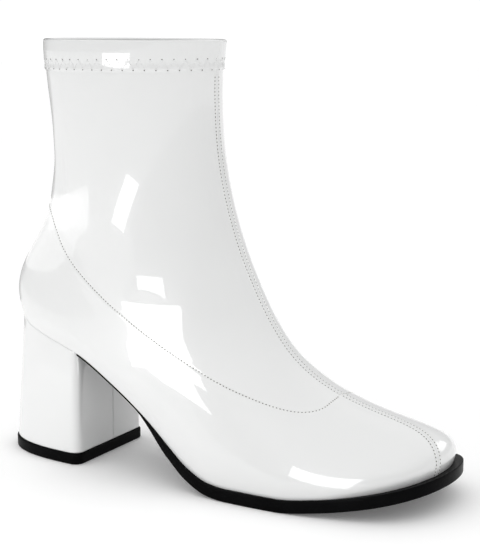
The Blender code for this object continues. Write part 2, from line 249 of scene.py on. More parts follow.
# The heel.
CORNER_STEPS, SIDE_STEPS = 8, 60
FRONT_POINTS = 14  # across the front face on either side of the cover's seam
BREAST_SEAM = 0.0015  # where the cover meets itself on the front face, off the middle
BREAST_BAND = 0.001 * np.array((-1.4, -0.9, -0.6, -0.4, -0.25, -0.12, 0.0, 0.12, 0.25, 0.4, 0.6, 0.9, 1.4))
BREAST_GROOVE, BREAST_GROOVE_WIDTH, BREAST_GROOVE_START = 0.0007, 0.00030, 0.05
HEEL_LIFT = 0.3 * GAP  # over the top piece
HEEL_FOOT_RINGS = ((0.0, -0.0007), (0.004, -0.00021), (0.012, 0.0))  # share of the height, growth in plan
HEEL_SIDE_RINGS = (0.03, 0.995, 40)  # from and to these shares, and how many
HEEL_TOP_RING = (1.0, -0.0004)
TOP_PIECE_ROUNDING = 0.0007

# Colours.
PATENT_WHITE = (0.803, 0.808, 0.805)
RUBBER_BLACK = (0.0016, 0.0016, 0.0018)
KNIT_WHITE = (0.74, 0.74, 0.72)
SEAM_THREAD = (0.88, 0.875, 0.84)
HEM_THREAD = (0.90, 0.90, 0.90)
# Painted shade: the needle holes are drawn as dark lenses where the shade inside their recesses would fall.
HOLE_PAINTED_SHADE = (0.085, 0.085, 0.068)
FLAG_GREY = (0.42, 0.42, 0.42)
FLOOR_WHITES = ((0.3, (0.93, 0.93, 0.93)), (0.7, (0.95, 0.95, 0.95)))
WHITE = (1.0, 1.0, 1.0, 1.0)

# Camera, floor and light.
CAMERA_PLACE = (0.44025, -0.5970, 0.2252)
CAMERA_TURN = (79.42, 0.0, 29.40)  # degrees
CAMERA_LENS, CAMERA_SENSOR = 92.71, 36.0  # millimetres
CAMERA_NEAR = 0.01
FLOOR_HALF, FLOOR_DROP, FLOOR_GLOW = 6.0, 0.0001, 0.10
BACKDROP_RADIUS, BACKDROP_GLOW = 5.9, 1.05
LIGHTS = (  # name, aim, azimuth, elevation, distance, width, height, roll and radiance
    ("shaft_card", (0.078, -0.018, 0.101), -42, 32, 0.060, 0.031, 0.013, 68, 3.5),
    ("ankle_card", (0.091, -0.037, 0.102), -34, 0, 0.060, 0.040, 0.005, -169, 3.5),
    ("instep_card", (0.074, -0.026, 0.079), -12, -5, 0.042, 0.066, 0.037, -167, 3.5),
    ("side_card", (-0.011, -0.104, 0.030), 16, 24, 0.055, 0.163, 0.024, -167, 3.5),
    ("toe_card", (0.091, -0.018, 0.032), 46, 0, 0.100, 0.080, 0.029, 158, 3.5),
    ("collar_card", (0.075, 0.016, 0.178), -26, 24, 0.060, 0.014, 0.006, 177, 3.5),
    ("toe_top_card", (0.220, 0.000, 0.030), 155, 20, 1.000, 0.400, 0.250, 0, 1.8),
    ("back_card", (0.005, 0.028, 0.040), -74, 48, 0.100, 0.166, 0.040, -172, 0.7),
    ("back_ankle_card", (0.053, 0.011, 0.110), -50, 16, 0.060, 0.031, 0.018, -176, 0.4),
)
KEY = ("key", (0.085, -0.020, 0.028), -32, 2, 0.25, 0.40, 0.12, 0, 0.92)
FLAG = (-119, 0.34, 0.17, 0.24)  # azimuth and distance from the ankle, width and height
WORLD_SIDES, WORLD_TOP = 0.635, 1.12  # how bright the studio is level with the boot, and overhead
OVERHEAD_FROM, OVERHEAD_TO = 0.25, 0.75  # heights of the view between the two
DARK_SIDE = (-128, 4)  # azimuth and elevation of the studio's darker part, behind the boot's back
DARK_EDGE, DARK_CORE = 30, 16  # degrees from its middle
DARK_SHARE = 0.25


# The last.

SLOPE_STEP = 1e-3  # the small step of level or turn that a slope is taken over
HALVINGS = 40


def natural_cubic(knots, values):
    """A function that runs smoothly through the values, a row for each knot."""
    knots = np.asarray(knots, float)
    values = np.asarray(values, float).reshape(len(knots), -1)
    count = len(knots)
    step = np.diff(knots)
    slope = np.diff(values, axis=0) / step[:, None]
    matrix = np.eye(count)
    right = np.zeros_like(values)
    for i in range(1, count - 1):
        matrix[i, i - 1:i + 2] = step[i - 1], 2 * (step[i - 1] + step[i]), step[i]
        right[i] = 6 * (slope[i] - slope[i - 1])
    bend = np.linalg.solve(matrix, right)

    def at(where):
        where = np.atleast_1d(np.asarray(where, float))
        i = np.clip(np.searchsorted(knots, where) - 1, 0, count - 2)
        h = step[i][:, None]
        behind, ahead = (where - knots[i])[:, None], (knots[i + 1] - where)[:, None]
        bent = (bend[i] * ahead ** 3 + bend[i + 1] * behind ** 3) / (6 * h)
        straight = (values[i] / h - bend[i] * h / 6) * ahead
        straight += (values[i + 1] / h - bend[i + 1] * h / 6) * behind
        return bent + straight

    return at


def level_cubic(knots, values):
    """A function through the values that never passes them, so that it stays level between equal ones."""
    knots = np.asarray(knots, float)
    values = np.asarray(values, float)
    slope = np.diff(values) / np.diff(knots)
    tangent = np.zeros(len(knots))
    same_way = slope[:-1] * slope[1:] > 0
    tangent[1:-1][same_way] = 2 / (1 / slope[:-1][same_way] + 1 / slope[1:][same_way])
    tangent[0], tangent[-1] = slope[0], slope[-1]

    def at(where):
        where = np.asarray(where, float)
        i = np.clip(np.searchsorted(knots, where) - 1, 0, len(knots) - 2)
        h = knots[i + 1] - knots[i]
        t = np.clip((where - knots[i]) / h, 0.0, 1.0)
        ends = values[i] * (1 + 2 * t) * (1 - t) ** 2 + values[i + 1] * t * t * (3 - 2 * t)
        return ends + h * t * (1 - t) * (tangent[i] * (1 - t) - tangent[i + 1] * t)

    return at


BOTTOM_PLACES, BOTTOM_RISES, BOTTOM_SPRINGS, BOTTOM_CURVES = zip(*BOTTOM)
rise_at = level_cubic(BOTTOM_PLACES, BOTTOM_RISES)
spring_at = level_cubic(BOTTOM_PLACES, BOTTOM_SPRINGS)
curve_at = natural_cubic(BOTTOM_PLACES, BOTTOM_CURVES)
ring_at = natural_cubic(np.linspace(0, 1, len(RINGS)), RINGS)
station_shares = natural_cubic(STATIONS, np.eye(len(STATIONS)))
centre_seam_turn = natural_cubic(*zip(*((level, math.radians(turn)) for level, turn in CENTRE_SEAM)))
panel_seam_level = natural_cubic(*zip(*((math.radians(turn), level) for turn, level in PANEL_SEAM)))


def sole_top(x):
    """Height of the sole's and the heel's top at x, which is measured from the heel's back."""
    along = np.asarray(x) / LENGTH
    return SOLE_THICKNESS + rise_at(along) * (SEAT_HEIGHT - SOLE_THICKNESS) + spring_at(along) * TOE_SPRING


def last_at(level, turn):
    """Points of the upper's plain outer surface, from the heel's back, one for each level and turn."""
    level, turn = np.broadcast_arrays(np.asarray(level, float), np.asarray(turn, float))
    shape = level.shape
    v, t = level.ravel(), turn.ravel()
    rows = ring_at(v)
    ring = dict(zip(RING_COLUMNS, rows.T))
    c = (1 - np.cos(t)) / 2
    low, high = (1 - v) ** 2, v ** 2
    back_x = ring["back_x"] * LENGTH + high * (SHAFT_BACK - LAST_RING["back_x"] * LENGTH)
    front_x = ring["front_x"] * LENGTH + high * (SHAFT_BACK + SHAFT_DEPTH - LAST_RING["front_x"] * LENGTH)
    back_low, front_low = sole_top(FIRST_RING["back_x"] * LENGTH), sole_top(FIRST_RING["front_x"] * LENGTH)
    back_z = back_low + ring["back_up"] * (SHAFT_HEIGHT - back_low)
    front_z = front_low + ring["front_up"] * (SHAFT_HEIGHT - front_low)
    x = back_x + (front_x - back_x) * c
    hollow = sole_top(x) - sole_top(back_x) - (sole_top(front_x) - sole_top(back_x)) * c
    z = back_z + (front_z - back_z) * c + ring["arch"] * hollow
    widths = rows[:, WIDTH_COLUMNS] * BALL_HALF_WIDTH
    widths[:, 0] += low * (HEEL_HALF_WIDTH - FIRST_RING["heel"] * BALL_HALF_WIDTH)
    widths += (high * (SHAFT_HALF_WIDTH - LAST_RING["heel"] * BALL_HALF_WIDTH))[:, None]
    half = (station_shares(c) * widths).sum(axis=1)
    full = ring["blunt"] + (ring["snub"] - ring["blunt"]) * c
    ends = np.tanh(full * np.sin(t)) / np.tanh(full)
    y = ring["swing"] * CURVE * curve_at(x / LENGTH)[:, 0] - half * ends
    return np.stack((x, y, z), axis=-1).reshape(shape + (3,))


def unit(vectors):
    return vectors / np.linalg.norm(vectors, axis=-1, keepdims=True)


def last_slopes(level, turn):
    """How fast the surface moves with the level and with the turn."""
    up, down = np.minimum(level + SLOPE_STEP, 1.0), np.maximum(level - SLOPE_STEP, 0.0)
    climb = (last_at(up, turn) - last_at(down, turn)) / (up - down)[..., None]
    on = (last_at(level, turn + SLOPE_STEP) - last_at(level, turn - SLOPE_STEP)) / (2 * SLOPE_STEP)
    return climb, on


def last_normals(level, turn):
    level, turn = np.broadcast_arrays(np.asarray(level, float), np.asarray(turn, float))
    climb, on = last_slopes(level, turn)
    return unit(np.cross(on, climb))


def smooth_step(low, high, value):
    t = np.clip((np.asarray(value) - low) / (high - low), 0.0, 1.0)
    return t * t * (3 - 2 * t)


def bump(distance, width):
    return np.exp(-(distance / width) ** 2)


def level_outline(turns, out):
    """The upper's lower edge, moved outwards in plan by out."""
    turns = np.asarray(turns, float)
    points = last_at(0.0, turns)
    normals = last_normals(np.zeros(len(turns)), turns)
    normals[:, 2] = 0.0
    points = points + unit(normals) * np.asarray(out)[..., None]
    points[:, 2] = sole_top(points[:, 0])
    return points


def turn_at(x):
    """The turn, on the outer side, at which the upper's lower edge passes x."""
    first, last = FIRST_RING["back_x"] * LENGTH, FIRST_RING["front_x"] * LENGTH
    return math.acos(1 - 2 * (x - first) / (last - first))


def level_below(depth):
    """The level that passes the back of the shaft at a depth under the collar's edge."""
    low, high = 0.5, 1.0
    for _ in range(HALVINGS):
        middle = (low + high) / 2
        if last_at(middle, 0.0)[2] < SHAFT_HEIGHT - depth:
            low = middle
        else:
            high = middle
    return high


def heel_outline(grow, level):
    """The heel's outline, from the inner side's front corner round the back to the outer side's."""
    corner = BREAST - HEEL_CORNER
    bends = np.linspace(0.0, math.pi / 2, CORNER_STEPS + 1)
    arc = [turn_at(corner + HEEL_CORNER * math.sin(bend)) for bend in bends]
    side = (np.arange(SIDE_STEPS) + 0.5) * (arc[0] / SIDE_STEPS)
    half = np.concatenate((side, arc))
    points = level_outline(np.concatenate((2 * math.pi - half[::-1], half)), -HEEL_INSET)
    x, y = points[:, 0], points[:, 1]
    back = x.min() - HEEL_FLARE * (1 - level) - grow
    reach = np.clip((x - x.min()) / (x.max() - x.min()), 0.0, 1.0)
    plan_x = back + (BREAST + grow - back) * reach
    past = np.clip(plan_x - (BREAST + grow - HEEL_CORNER), 0.0, HEEL_CORNER)
    pull = HEEL_CORNER - np.sqrt(np.maximum(HEEL_CORNER ** 2 - past ** 2, 0.0))
    wide = np.abs(y) * (1 + (HEEL_WIDENING - 1) * (1 - level))
    wide += grow * np.minimum(wide / (2 * HEEL_CORNER), 1.0) - pull
    return np.stack((plan_x, np.sign(y) * wide, sole_top(x)), axis=1)


# The frame's origin, measured as the upper is, which stands a gap higher, and as the sole and heel are.
heel_foot_x = heel_outline(0.0, 0.0)[:, 0]
FLOOR_MIDDLE = np.array(((heel_foot_x.min() + heel_foot_x.max()) / 2, 0.0, 0.0))
MIDDLE = FLOOR_MIDDLE - (0.0, 0.0, GAP)


# The upper's surface, with its seams, hem and creases.

HEM = level_below(HEM_HEIGHT)


def seam_distance(level, turn):
    """Distance from the centre seam, less than nothing on the outer side."""
    from_seam = turn - centre_seam_turn(level.ravel())[:, 0].reshape(level.shape)
    on = last_slopes(level, turn)[1]
    return from_seam * np.linalg.norm(on, axis=-1)


def folded(turn):
    turn = np.mod(turn, 2 * math.pi)
    return np.minimum(turn, 2 * math.pi - turn)


def panel_level(turn):
    turn = np.asarray(turn, float)
    return panel_seam_level(folded(turn).ravel())[:, 0].reshape(turn.shape)


def panel_distance(level, turn):
    """Distance from the panel seam, less than nothing below it."""
    climb, on = last_slopes(level, turn)
    lean = (panel_level(turn + SLOPE_STEP) - panel_level(turn - SLOPE_STEP)) / (2 * SLOPE_STEP)
    along = unit(on + climb * lean[..., None])
    across = climb - along * (climb * along).sum(axis=-1, keepdims=True)
    return (level - panel_level(turn)) * np.linalg.norm(across, axis=-1)


def seam_forms(forms, side):
    return sum(height * bump(side - offset, width) for height, offset, width in forms)


def centre_seam_relief(distance):
    side = np.abs(distance)
    allowance = ALLOWANCE_HEIGHT * (1 - smooth_step(ALLOWANCE_FROM, ALLOWANCE_TO, side))
    return seam_forms(CENTRE_SEAM_FORMS, side) + allowance


def panel_seam_relief(distance):
    overlap = OVERLAP_HEIGHT * bump(np.minimum(distance + OVERLAP_FLAT, 0.0), OVERLAP_FADE) * (distance < 0)
    return seam_forms(PANEL_SEAM_FORMS, np.abs(distance)) + overlap


def hem_relief(level, turn):
    """The folded hem: proud of the shaft, with a soft roll, drawn in and puckered at the zigzag."""
    depth = (SHAFT_HEIGHT - last_at(level, turn)[..., 2]) + HEM_FRONT * np.sin(turn / 2) ** 2
    inside = smooth_step(HEM_HEIGHT + HEM_UNDER, HEM_HEIGHT - HEM_ABOVE, depth)
    drawn_in = -DRAWN_IN * bump(depth - ZIGZAG_MIDDLE, DRAWN_IN_WIDTH)
    puckers = PUCKER_HEIGHT * np.sin(turn * PUCKERS) * bump(depth - ZIGZAG_MIDDLE, PUCKER_WIDTH)
    roll = ROLL_HEIGHT * bump(depth - ROLL_DEPTH, ROLL_WIDTH)
    return inside * (HEM_STEP + drawn_in + puckers + roll)


def crease_relief(points):
    total = np.zeros(points.shape[:-1])
    for level, degrees, half_length, half_width, height, lean in CREASES:
        turn, lean = math.radians(degrees), math.radians(lean)
        climb, on = (unit(slope) for slope in last_slopes(np.array(level), np.array(turn)))
        out = np.cross(on, climb)
        along = unit(climb * math.cos(lean) + on * math.sin(lean))
        across = unit(np.cross(along, out))
        away = points - last_at(level, turn)
        length, width = bump(away @ along, half_length), bump(away @ across, half_width)
        total += height * length * width * bump(away @ unit(out), CREASE_REACH)
    return total


def waviness(points):
    """Stretched patent never lies quite flat: slow waves, together about a fifth of a millimetre high."""
    total = np.zeros(points.shape[:-1])
    for x, y, z, length, height, start in WAVES:
        along = points @ unit(np.array((x, y, z)))
        total += height * np.sin(along * (2 * math.pi / length) + start)
    return total


def upper_relief(level, turn):
    points = last_at(level, turn)
    below_hem = smooth_step(HEM_HEIGHT - HEM_ABOVE, HEM_HEIGHT + HEM_CLEAR, SHAFT_HEIGHT - points[..., 2])
    in_full = SEAM_IN_HEM + (1 - SEAM_IN_HEM) * below_hem
    relief = centre_seam_relief(seam_distance(level, turn)) * in_full
    relief += panel_seam_relief(panel_distance(level, turn))
    relief += hem_relief(level, turn)
    relief += crease_relief(points) * below_hem
    relief += waviness(points) * smooth_step(0.0, WAVES_FULL, level)
    return relief


def upper_surface(level, turn):
    """Points and normals of the finished outer face, in the model's frame."""
    level, turn = np.broadcast_arrays(np.asarray(level, float), np.asarray(turn, float))
    normals = last_normals(level, turn)
    points = last_at(level, turn) + normals * upper_relief(level, turn)[..., None]
    return points - MIDDLE, normals


def column_turns(level):
    """Turns of the mesh's columns at one level for each column, a closed loop that starts at the back."""
    seam = centre_seam_turn(level)[:, 0]
    on = np.linalg.norm(last_slopes(level, seam)[1], axis=-1)
    first, last = seam + SEAM_BAND[0] / on, seam + SEAM_BAND[-1] / on
    share = np.linspace(0, 1, SIDE_COLUMNS + 1) ** SIDE_CROWDING
    columns = np.arange(COLUMNS)
    outer = columns <= SIDE_COLUMNS
    inner = columns >= SIDE_COLUMNS + len(SEAM_BAND) - 1
    band = ~outer & ~inner
    turns = np.empty(COLUMNS)
    turns[outer] = first[outer] * share[columns[outer]]
    turns[band] = seam[band] + SEAM_BAND[columns[band] - SIDE_COLUMNS] / on[band]
    turns[inner] = 2 * math.pi - (2 * math.pi - last)[inner] * share[COLUMNS - columns[inner]]
    return turns


def outer_rows():
    """Levels and turns of the outer face, a row for each ring and a column for each line up the upper."""
    turn = np.linspace(0, 2 * math.pi, COLUMNS)
    for _ in range(FITTING_PASSES):
        seam = panel_level(turn)
        climb = np.linalg.norm(last_slopes(seam, turn)[0], axis=-1)
        low, high = seam + SEAM_BAND[0] / climb, seam + SEAM_BAND[-1] / climb
        share = np.linspace(0, 1, FOOT_ROWS + 1)[:-1]
        foot_rows = (share ** FOOT_CROWDING)[:, None] * low[None, :]
        band_rows = seam[None, :] + SEAM_BAND[:, None] / climb[None, :]
        share = np.linspace(0, 1, SHAFT_ROWS + 2)[1:-1]
        shaft_rows = high[None, :] + share[:, None] * (HEM - HEM_LEAD - high)[None, :]
        hem_rows = np.linspace(HEM - HEM_LEAD, 1.0, HEM_ROWS)[:, None] + 0 * low[None, :]
        levels = np.concatenate((foot_rows, band_rows, shaft_rows, hem_rows))
        turns = np.stack([column_turns(row) for row in levels])
        turn = turns[FOOT_ROWS + len(SEAM_BAND) // 2]
    return levels, turns


def add_object(name, data):
    thing = bpy.data.objects.new(name, data)
    bpy.context.scene.collection.objects.link(thing)
    return thing


def mesh_piece(name, vertices, faces, materials, face_materials=None):
    """A smooth piece of the boot, its faces turned outwards."""
    mesh = bpy.data.meshes.new(name)
    mesh.from_pydata([tuple(point) for point in np.asarray(vertices, float)], [], faces)
    for material in materials:
        mesh.materials.append(material)
    if face_materials is not None:
        mesh.polygons.foreach_set("material_index", np.asarray(face_materials, np.int32))
    work = bmesh.new()
    work.from_mesh(mesh)
    bmesh.ops.recalc_face_normals(work, faces=work.faces)
    work.to_mesh(mesh)
    work.free()
    mesh.polygons.foreach_set("use_smooth", [True] * len(mesh.polygons))
    piece = add_object(name, mesh)
    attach(piece, "root")
    return piece


def loop_faces(rows, columns, closed_rows):
    """Faces between rings of points, each ring a closed loop."""
    faces = []
    for n in range(rows if closed_rows else rows - 1):
        m = (n + 1) % rows
        for i in range(columns):
            j = (i + 1) % columns
            faces.append((n * columns + i, n * columns + j, m * columns + j, m * columns + i))
    return faces


def build_upper(patent, lining):
    levels, turns = outer_rows()
    outer, _ = upper_surface(levels, turns)
    outer[0, :, 2] -= LOWER_EDGE
    rings = list(outer)
    turns = turns[-1]
    normals = last_normals(np.ones(COLUMNS), turns)
    half = (HEM_STEP + WALL) / 2
    for step in range(1, FOLD_ROWS):
        angle = math.pi * step / FOLD_ROWS
        rise = np.array((0.0, 0.0, half * FOLD_RISE * math.sin(angle)))
        rings.append(outer[-1] + normals * half * (math.cos(angle) - 1) + rise)
    facing = np.linspace(1.0, HEM, FACING_ROWS)
    first_lining = (len(rings) + FACING_ROWS) * COLUMNS
    for level in (*facing, *np.linspace(HEM, 0.0, LINING_ROWS + 1)[1:-1]):
        row = np.full(COLUMNS, level)
        inset = WALL + LINING_INSET * float(level < HEM)
        rings.append(last_at(row, turns) - last_normals(row, turns) * inset - MIDDLE)
    last_lining = len(rings) * COLUMNS
    rings.append(level_outline(turns, -WALL) - MIDDLE - (0.0, 0.0, LOWER_EDGE))
    faces = loop_faces(len(rings), COLUMNS, True)
    slots = [1 if first_lining <= n < last_lining else 0 for n in range(len(faces))]
    upper = mesh_piece("patent_upper", np.concatenate(rings), faces, [patent, lining], slots)
    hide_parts("upper")


# Stitches.

def lengths_along(points):
    """How far along a path each of its points lies."""
    return np.concatenate(([0.0], np.cumsum(np.linalg.norm(np.diff(points, axis=0), axis=1))))


def sampled(points, lengths, where):
    return np.stack([np.interp(where, lengths, points[:, k]) for k in range(3)], axis=1)


def row_of_stitches(points, normals):
    """The two ends and the outward direction of each stitch along a line on the upper."""
    lengths = lengths_along(points)
    count = int(lengths[-1] / STITCH_PITCH)
    middles = (np.arange(count) + 0.5) * (lengths[-1] / count)
    starts = sampled(points, lengths, middles - STITCH_LENGTH / 2)
    ends = sampled(points, lengths, middles + STITCH_LENGTH / 2)
    return starts, ends, unit(sampled(normals, lengths, middles))


def centre_rows():
    """The rows on both sides of the centre seam, from the sole to the hem."""
    levels = np.linspace(CENTRE_ROW_START, HEM - CENTRE_ROW_END, CENTRE_SAMPLES)
    seam = centre_seam_turn(levels)[:, 0]
    rate = np.linalg.norm(last_slopes(levels, seam)[1], axis=-1)
    return [
        row_of_stitches(*upper_surface(levels, seam + side * TOPSTITCH_OFFSET / rate))
        for side in (-1, 1)
    ]


def panel_rows():
    """The single row along the panel seam, on both sides, from the back to the centre seam."""
    rows = []
    for first, last in PANEL_ROW_TURNS:
        turn = np.radians(np.linspace(first, last, PANEL_SAMPLES))
        rows.append(row_of_stitches(*upper_surface(panel_level(turn), turn)))
    return rows


def zigzag_rows():
    """The hem's zigzag, all round the collar."""
    top, foot = level_below(ZIGZAG_TOP), level_below(ZIGZAG_FOOT)
    turn = np.radians(np.linspace(0, 360, COLLAR_SAMPLES))
    lengths = lengths_along(upper_surface(top, turn)[0])
    legs = 2 * int(lengths[-1] / ZIGZAG_STEP / 2)
    corners = np.interp(np.arange(legs + 1) * lengths[-1] / legs, lengths, turn)
    starts, ends = [], []
    for leg in range(legs):
        for part in range(ZIGZAG_PARTS):
            for into, place in ((starts, part + ZIGZAG_SPACE), (ends, part + 1 - ZIGZAG_SPACE)):
                share = place / ZIGZAG_PARTS
                drop = share if leg % 2 == 0 else 1 - share
                into.append((
                    top + (foot - top) * drop,
                    corners[leg] + (corners[leg + 1] - corners[leg]) * share,
                ))
    first, normals = upper_surface(*np.transpose(starts))
    second, _ = upper_surface(*np.transpose(ends))
    return [(first, second, normals)]


def circle(middles, side, up, radius, count):
    """Points round every middle in the plane of side and up, as one array for each point of the circle."""
    angles = [2 * math.pi * k / count for k in range(count)]
    return [middles + radius * (side * math.cos(angle) + up * math.sin(angle)) for angle in angles]


def copies(points, faces):
    """Points and faces of many small forms, from an array for each point of a form and one form's faces."""
    vertices = np.stack(points, axis=1).reshape(-1, 3)
    firsts = range(0, len(vertices), len(points))
    return vertices, [tuple(first + k for k in face) for first in firsts for face in faces]


def thread_mesh(rows, radius):
    """Short arched threads, each a tube with flat ends."""
    starts, ends, out = (np.concatenate([row[k] for row in rows]) for k in range(3))
    along = unit(ends - starts)
    side = unit(np.cross(out, along))
    up = unit(np.cross(along, side))
    points = []
    for share, width, height in THREAD_RINGS:
        middles = starts + (ends - starts) * share + up * (THREAD_LIFT * radius * height)
        points += circle(middles, side, up, radius * width, THREAD_SIDES)
    faces = loop_faces(len(THREAD_RINGS), THREAD_SIDES, False)
    faces.append(tuple(reversed(range(THREAD_SIDES))))
    faces.append(tuple(range(len(points) - THREAD_SIDES, len(points))))
    return copies(points, faces)


def hole_mesh(rows, radius, every):
    """The needle's holes, one before every so many stitches: small lenses that lie in the surface, dark with
    painted shade for the holes' recesses.
    """
    places, outs = [], []
    for starts, ends, out in rows:
        places.append((starts - unit(ends - starts) * HOLE_SPACE)[::every])
        outs.append(out[::every])
    places, outs = np.concatenate(places), np.concatenate(outs)
    side = unit(np.cross(outs, (0.0, 0.0, 1.0)) + TINY)
    rim = circle(places + outs * HOLE_RIM, side, np.cross(side, outs), radius, HOLE_SIDES)
    edges = [(1 + k, 1 + (k + 1) % HOLE_SIDES) for k in range(HOLE_SIDES)]
    faces = [(0, a, b) for a, b in edges] + [(HOLE_SIDES + 1, b, a) for a, b in edges]
    return copies([places + outs * HOLE_CROWN, *rim, places + outs * HOLE_ROOT], faces)


def build_stitches(thread, hem_thread, hole):
    routes = ((centre_rows(), thread), (panel_rows(), thread), (zigzag_rows(), hem_thread))
    for (name, radius, every, hole_radius), (rows, material) in zip(STITCHES, routes):
        mesh_piece(name, *thread_mesh(rows, radius), [material])
        # The holes are dark lenses of painted shade.
        mesh_piece(name + "_hole_painted_shade", *hole_mesh(rows, hole_radius, every), [hole])


# Heel, sole and insole.

def across_grid(outline, steps):
    """Rows of points across an outline whose points pair up, first with last and so on to its middle."""
    pairs = len(outline) // 2
    share = np.linspace(0, 1, steps + 1)
    share = (1 - np.cos(math.pi * share)) / 2 * EDGE_CROWDING + share * (1 - EDGE_CROWDING)
    first, second = outline[:pairs], outline[::-1][:pairs]
    return first[:, None, :] * (1 - share)[None, :, None] + second[:, None, :] * share[None, :, None]


def cover_faces(grid, base, count, first):
    """Faces of a grid laid across the ring of count points from base on; its inner points start at first."""
    pairs, columns = grid.shape[:2]

    def place(n, i):
        if i == 0:
            return base + n
        if i == columns - 1:
            return base + count - 1 - n
        return first + n * (columns - 2) + i - 1

    faces = []
    for n in range(pairs - 1):
        for i in range(columns - 1):
            faces.append((place(n, i), place(n, i + 1), place(n + 1, i + 1), place(n + 1, i)))
    faces.append(tuple(place(pairs - 1, i) for i in range(columns)))
    return faces


def covered_loft(rings, under, top):
    """Points and faces of rings one above the other, closed by grids of points laid across the end rings."""
    count = len(rings[0])
    vertices = np.concatenate(rings)
    faces = loop_faces(len(rings), count, False)
    for grid, base in ((under, 0), (top, len(vertices) - count)):
        faces += cover_faces(grid, base, count, len(vertices))
        vertices = np.concatenate((vertices, grid[:, 1:-1].reshape(-1, 3)))
    return vertices - FLOOR_MIDDLE, faces


def edge_profile(height, radius, steps=EDGE_STEPS):
    """Outward shift and height of each ring from the underside up to the top, with rounded corners."""
    bends = [math.pi / 2 * k / steps for k in range(steps + 1)]
    profile = [(-radius * (1 - math.sin(bend)), radius * (1 - math.cos(bend))) for bend in bends]
    profile += [(0.0, radius + (height - 2 * radius) * k / EDGE_STEPS) for k in range(1, EDGE_STEPS)]
    profile += [(-radius * (1 - math.cos(bend)), height - radius * (1 - math.sin(bend))) for bend in bends]
    return profile


def sole_outline(turns, shrink=0.0):
    """The sole's outline, a ledge wider than the upper's lower edge."""
    c = (1 - np.cos(turns)) / 2
    ledge = SOLE_LEDGE * smooth_step(WEDGE_START, WEDGE_END + LEDGE_RUN, last_at(0.0, turns)[:, 0])
    ledge = ledge + (TOE_LEDGE - SOLE_LEDGE) * smooth_step(TOE_LEDGE_FROM, TOE_LEDGE_TO, c)
    return level_outline(turns, ledge - shrink)


def sole_thickness(x):
    return WAIST_EDGE + (SOLE_THICKNESS - WAIST_EDGE) * smooth_step(WEDGE_START, WEDGE_END, x)


def inset_from(outline, points):
    """How far each point lies from the nearest point of the outline, in plan."""
    nearest = np.full(points.shape[:-1], np.inf)
    for edge in outline:
        nearest = np.minimum(nearest, np.linalg.norm((points - edge)[..., :2], axis=-1))
    return nearest


def tread(points, inset):
    """Depth of the underside's shallow tread: a line round the edge, and fine ribs under the ball."""
    x = points[..., 0]
    line = LINE_DEPTH * bump(inset - LINE_INSET, LINE_WIDTH)
    under_ball = smooth_step(*RIBS_BACK, x) * (1 - smooth_step(*RIBS_FRONT, x))
    ribs = RIB_DEPTH * (0.5 + 0.5 * np.cos(2 * math.pi * x / RIB_PITCH))
    return line + smooth_step(*RIB_INSET, inset) * under_ball * ribs


def build_outsole(rubber):
    start = turn_at(BREAST + GAP)
    turns = np.linspace(start, 2 * math.pi - start, SOLE_POINTS)
    outline = sole_outline(turns)
    edge = outline - sole_outline(turns, SOLE_EDGE)
    thickness = sole_thickness(outline[:, 0])
    rings = []
    for shift, share in edge_profile(1.0, SOLE_ROUNDING):
        ring = outline.copy()
        ring[:, :2] += edge[:, :2] * (shift / SOLE_ROUNDING)
        ring[:, 2] = sole_top(ring[:, 0]) - thickness * (1 - share)
        ring[[0, -1], 0] = np.maximum(ring[[0, -1], 0], BREAST + GAP)
        rings.append(ring)
    under, top = across_grid(rings[0], TREAD_COLUMNS), across_grid(rings[-1], SOLE_COLUMNS)
    under[:, 1:-1, 2] += tread(under, inset_from(rings[0], under))[:, 1:-1]
    piece = mesh_piece("rubber_outsole", *covered_loft(rings, under, top), [rubber])
    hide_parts("outsole")


def heel_loop(grow, level):
    """How many points the heel's outline has, and the outline closed across its front."""
    outline = heel_outline(grow, level)
    first, last = outline[-1], outline[0]
    across = last[1] - first[1]
    band = (BREAST_SEAM - first[1]) / across + np.sort(BREAST_BAND / across)
    sides = np.linspace(0, band[0], FRONT_POINTS)[1:-1], np.linspace(band[-1], 1, FRONT_POINTS)[1:-1]
    share = np.concatenate((sides[0], band, sides[1]))[:, None]
    return len(outline), np.concatenate((outline, first * (1 - share) + last * share))


def cap_faces(first, outline_count, total, flip):
    """A flat cap: quads across the paired outline, and one face with the points of the front."""
    faces = []
    for i in range(outline_count // 2 - 1):
        a, b = first + i, first + i + 1
        faces.append((a, b, first + outline_count - 2 - i, first + outline_count - 1 - i))
    faces.append((*range(first + outline_count - 1, first + total), first))
    return [tuple(reversed(face)) for face in faces] if flip else faces


def capped_loft(rings, outline_count):
    """Points and faces of rings one above the other, with a flat cap at both ends."""
    total = len(rings[0])
    faces = loop_faces(len(rings), total, False)
    faces += cap_faces(0, outline_count, total, True)
    faces += cap_faces((len(rings) - 1) * total, outline_count, total, False)
    return np.concatenate(rings) - FLOOR_MIDDLE, faces


def build_heel(patent):
    low = TOP_PIECE_THICKNESS + HEEL_LIFT
    count, seat = heel_loop(0.0, 1.0)
    sides = [(share, 0.0) for share in np.linspace(*HEEL_SIDE_RINGS)]
    rings = []
    for share, grow in (*HEEL_FOOT_RINGS, *sides, HEEL_TOP_RING):
        _, ring = heel_loop(grow, share)
        ring[:, 2] = low + (seat[:, 2] - low) * share
        groove = BREAST_GROOVE * bump(ring[count:, 1] - BREAST_SEAM, BREAST_GROOVE_WIDTH)
        ring[count:, 0] -= groove * smooth_step(0.0, BREAST_GROOVE_START, share)
        rings.append(ring)
    piece = mesh_piece("covered_heel", *capped_loft(rings, count), [patent])
    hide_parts("heel")


def build_top_piece(rubber):
    rings = []
    for shift, height in edge_profile(TOP_PIECE_THICKNESS, TOP_PIECE_ROUNDING):
        count, ring = heel_loop(TOP_PIECE_LEDGE + shift, 0.0)
        ring[:, 2] = height
        rings.append(ring)
    piece = mesh_piece("rubber_top_piece", *capped_loft(rings, count), [rubber])
    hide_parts("heel_top_piece")


